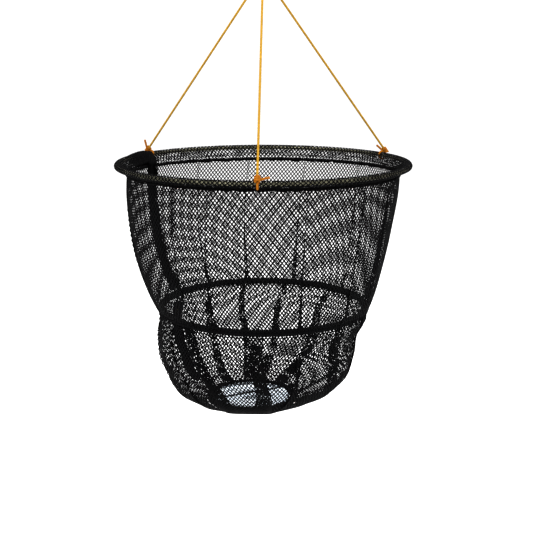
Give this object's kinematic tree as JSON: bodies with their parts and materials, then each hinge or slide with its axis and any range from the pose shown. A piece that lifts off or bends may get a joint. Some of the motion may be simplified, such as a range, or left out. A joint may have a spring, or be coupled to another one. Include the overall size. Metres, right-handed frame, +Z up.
{
  "type": "folding crab trap",
  "caption": "Folding hoop-net crab trap: open top hoop on a cord bridle, tapering net wall, second hoop, drawn-in net bag and a clear base dish with a bait elastic.",
  "frame": {"origin": "bearing point of the hanging loop, the inside of its top, where a haul line or hook carries the trap", "axes": "+Z up along the trap's hanging axis, -Y towards the front bridle leg, +X to the right as seen from the front"},
  "size_m": [0.3002, 0.3047, 0.4638],
  "materials": {
    "cord_amber": "braided",
    "netting_black": "woven mesh",
    "hoop_wire": "dull",
    "dish_clear": "clear",
    "elastic_black": "covered cord"
  },
  "bodies": {
    "bridle": {"hanging_loop": "cord_amber", "apex_knot": "cord_amber", "bridle_cord_front": "cord_amber", "bridle_cord_left": "cord_amber", "bridle_cord_right": "cord_amber"},
    "top_frame": {"ring_knot_front": "cord_amber", "ring_knot_left": "cord_amber", "ring_knot_right": "cord_amber", "top_hoop": "hoop_wire", "top_hoop_ferrule": "hoop_wire", "top_hem": "netting_black", "top_hem_seam": "netting_black", "upper_net": "netting_black", "upper_side_seam": "netting_black"},
    "middle_frame": {"middle_hoop": "hoop_wire", "middle_sleeve": "netting_black", "middle_sleeve_stitch": "netting_black", "lower_net": "netting_black", "lower_side_seam": "netting_black"},
    "base": {"base_dish": "dish_clear", "base_hem": "netting_black", "bait_elastic": "elastic_black", "bait_elastic_knot_left": "elastic_black", "bait_elastic_knot_right": "elastic_black"}
  },
  "joints": [
    {"name": "bridle_slack", "type": "slide", "parent": "bridle", "child": "top_frame", "axis": [0, 0, 1], "range_m": [0, 0.165], "deforming": ["bridle_cord_front", "bridle_cord_left", "bridle_cord_right"]},
    {"name": "upper_fold", "type": "slide", "parent": "top_frame", "child": "middle_frame", "axis": [0, 0, 1], "range_m": [0, 0.12], "deforming": ["upper_net", "upper_side_seam"]},
    {"name": "lower_fold", "type": "slide", "parent": "middle_frame", "child": "base", "axis": [0, 0, 1], "range_m": [0, 0.082], "deforming": ["lower_net", "lower_side_seam"]}
  ]
}
